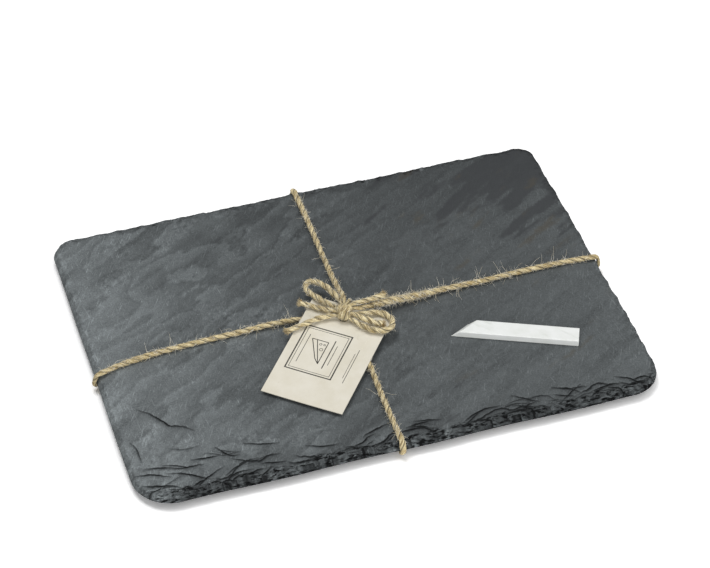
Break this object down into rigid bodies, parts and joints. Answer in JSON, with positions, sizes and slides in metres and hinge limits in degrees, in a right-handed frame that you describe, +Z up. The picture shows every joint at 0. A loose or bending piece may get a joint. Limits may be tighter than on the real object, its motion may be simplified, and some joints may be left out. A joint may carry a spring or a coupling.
{
  "type": "slate serving board",
  "caption": "Rectangular slate board on rubber feet, tied both ways with jute twine in a bow, with a paper tag on the knot and a loose soapstone stick.",
  "frame": {"origin": "on the table surface under the middle of the board, where the feet stand", "axes": "+Z up, +X along the board to its right end, +Y to its rear edge; the tag's bottom edge points to the front left"},
  "size_m": [0.3625, 0.2608, 0.0282],
  "materials": {
    "slate": "split slate, cleft and unpolished, matte",
    "foot_rubber": "moulded, matte",
    "adhesive": "acrylic foam tape, matte",
    "jute_twine": "natural jute, twisted two-ply, hairy",
    "tag_card": "uncoated natural card, matte",
    "soapstone": "sawn talc stone, waxy and smooth"
  },
  "bodies": {
    "root": {"slate_board": "slate", "foot_front_left": "foot_rubber", "foot_front_right": "foot_rubber", "foot_rear_left": "foot_rubber", "foot_rear_right": "foot_rubber", "adhesive_front_left": "adhesive", "adhesive_front_right": "adhesive", "adhesive_rear_left": "adhesive", "adhesive_rear_right": "adhesive", "twine_lengthwise": "jute_twine", "twine_crosswise": "jute_twine", "bow_knot": "jute_twine", "bow_loop_left": "jute_twine", "bow_loop_right": "jute_twine", "bow_end_left_upper": "jute_twine", "bow_end_left_lower": "jute_twine", "bow_end_right": "jute_twine", "bow_end_along_arm": "jute_twine"},
    "tag": {"tag_card": "tag_card"},
    "soapstone": {"soapstone_stick": "soapstone"}
  },
  "joints": [
    {"name": "tag_swing", "type": "hinge", "parent": "root", "child": "tag", "pos_m": [-0.0085, -0.0115, 0.0179], "axis": [-0.03, -0.0363, 0.9989], "range_deg": [-16, 8]},
    {"name": "soapstone_lift", "type": "slide", "parent": "root", "child": "soapstone", "axis": [0, 0, 1], "range_m": [0, 0.08]}
  ]
}
